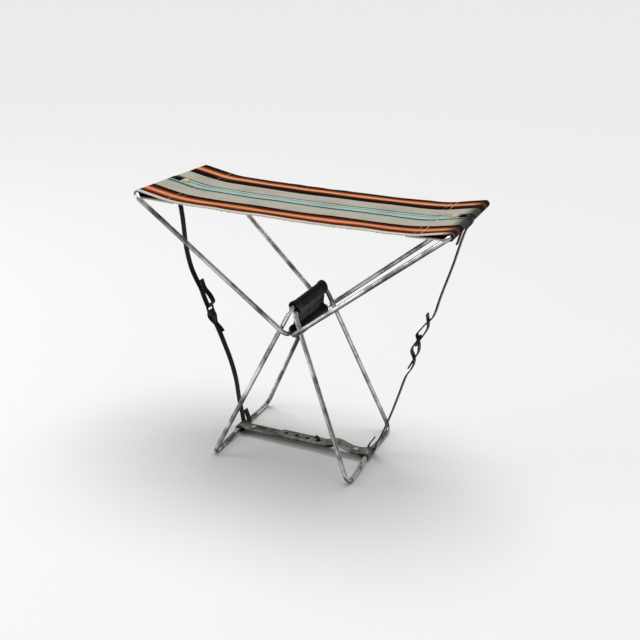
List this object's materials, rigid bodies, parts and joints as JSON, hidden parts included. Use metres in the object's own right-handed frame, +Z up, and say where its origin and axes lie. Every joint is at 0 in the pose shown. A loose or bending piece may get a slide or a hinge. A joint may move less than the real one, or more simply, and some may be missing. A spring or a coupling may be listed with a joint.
{
  "type": "folding camp stool",
  "caption": "Low folding camp stool with bent-wire seat and leg frames joined in a leather grip, a striped canvas seat, side straps and a hooked strip that keeps the feet apart.",
  "frame": {"origin": "floor level, at the centre of the overall bounding box", "axes": "+Z up; +X along the seat towards the right-hand end bar; -Y faces the viewer"},
  "size_m": [0.4106, 0.2002, 0.3485],
  "materials": {
    "galvanised_wire": "dull galvanised, darkened",
    "zinc_plated_strip": "dull zinc plate",
    "blackened_steel": "blackened, worn",
    "black_leather": "semi-gloss black",
    "striped_canvas": "woven stripes",
    "buff_patch": "matte"
  },
  "bodies": {
    "grip": {"grip_sleeve": "black_leather"},
    "left_leg": {"left_leg_frame": "galvanised_wire"},
    "right_leg": {"right_leg_frame": "galvanised_wire"},
    "left_seat": {"left_seat_frame": "galvanised_wire", "seat_canvas": "striped_canvas", "left_opening_patch": "buff_patch"},
    "right_seat": {"right_seat_frame": "galvanised_wire", "right_opening_patch": "buff_patch"},
    "left_upper": {"left_upper_strap": "black_leather", "left_strap_link": "blackened_steel"},
    "right_upper": {"right_upper_strap": "black_leather", "right_strap_link": "blackened_steel"},
    "left_lower": {"left_lower_strap": "black_leather"},
    "right_lower": {"right_lower_strap": "black_leather"},
    "left_strip": {"left_spreader_strip": "zinc_plated_strip", "spreader_hook": "blackened_steel", "left_spreader_rivet": "zinc_plated_strip"},
    "right_strip": {"right_spreader_strip": "zinc_plated_strip", "right_spreader_rivet": "zinc_plated_strip"}
  },
  "joints": [
    {"name": "left_leg_fold", "type": "hinge", "parent": "grip", "child": "left_leg", "pos_m": [-0.0014, 0, 0.215], "axis": [0, 1, 0], "range_deg": [0, 140], "deforming": ["seat_canvas", "left_upper_strap", "right_upper_strap", "left_lower_strap", "right_lower_strap", "right_spreader_strip"]},
    {"name": "right_leg_fold", "type": "hinge", "parent": "grip", "child": "right_leg", "pos_m": [0.0014, 0, 0.209], "axis": [0, -1, 0], "range_deg": [0, 140]},
    {"name": "left_seat_fold", "type": "hinge", "parent": "grip", "child": "left_seat", "pos_m": [0, 0, 0.1802], "axis": [0, 1, 0], "range_deg": [0, 44]},
    {"name": "right_seat_fold", "type": "hinge", "parent": "left_seat", "child": "right_seat", "pos_m": [0.0034, 0, 0.1802], "axis": [0, -1, 0], "range_deg": [0, 88]},
    {"name": "left_upper_swing", "type": "hinge", "parent": "left_seat", "child": "left_upper", "pos_m": [-0.2, 0, 0.3432], "axis": [0, -1, 0], "range_deg": [0, 26.2]},
    {"name": "right_upper_swing", "type": "hinge", "parent": "right_seat", "child": "right_upper", "pos_m": [0.2, 0, 0.3432], "axis": [0, 1, 0], "range_deg": [0, 26.2]},
    {"name": "left_lower_swing", "type": "hinge", "parent": "left_leg", "child": "left_lower", "pos_m": [-0.092, 0.0105, 0.0065], "axis": [0, 1, 0], "range_deg": [0, 45]},
    {"name": "right_lower_swing", "type": "hinge", "parent": "right_leg", "child": "right_lower", "pos_m": [0.09495, 0.0105, 0.00643], "axis": [0, -1, 0], "range_deg": [0, 45]},
    {"name": "left_strip_swing", "type": "hinge", "parent": "left_leg", "child": "left_strip", "pos_m": [-0.0919, -0.005, 0.0067], "axis": [0, -1, 0], "range_deg": [0, 50]},
    {"name": "right_strip_swing", "type": "hinge", "parent": "right_leg", "child": "right_strip", "pos_m": [0.09485, -0.005, 0.00664], "axis": [0, 1, 0], "range_deg": [0, 50]}
  ],
  "couplings": [
    {"joint": "right_leg_fold", "follows": "left_leg_fold", "ratio": 1},
    {"joint": "left_seat_fold", "follows": "left_leg_fold", "ratio": 0.3142},
    {"joint": "right_seat_fold", "follows": "left_leg_fold", "ratio": 0.6284},
    {"joint": "left_upper_swing", "follows": "left_leg_fold", "ratio": 0.187},
    {"joint": "right_upper_swing", "follows": "left_leg_fold", "ratio": 0.187},
    {"joint": "left_lower_swing", "follows": "left_leg_fold", "ratio": 0.3214},
    {"joint": "right_lower_swing", "follows": "left_leg_fold", "ratio": 0.3214},
    {"joint": "left_strip_swing", "follows": "left_leg_fold", "ratio": 0.357},
    {"joint": "right_strip_swing", "follows": "left_leg_fold", "ratio": 0.357}
  ]
}
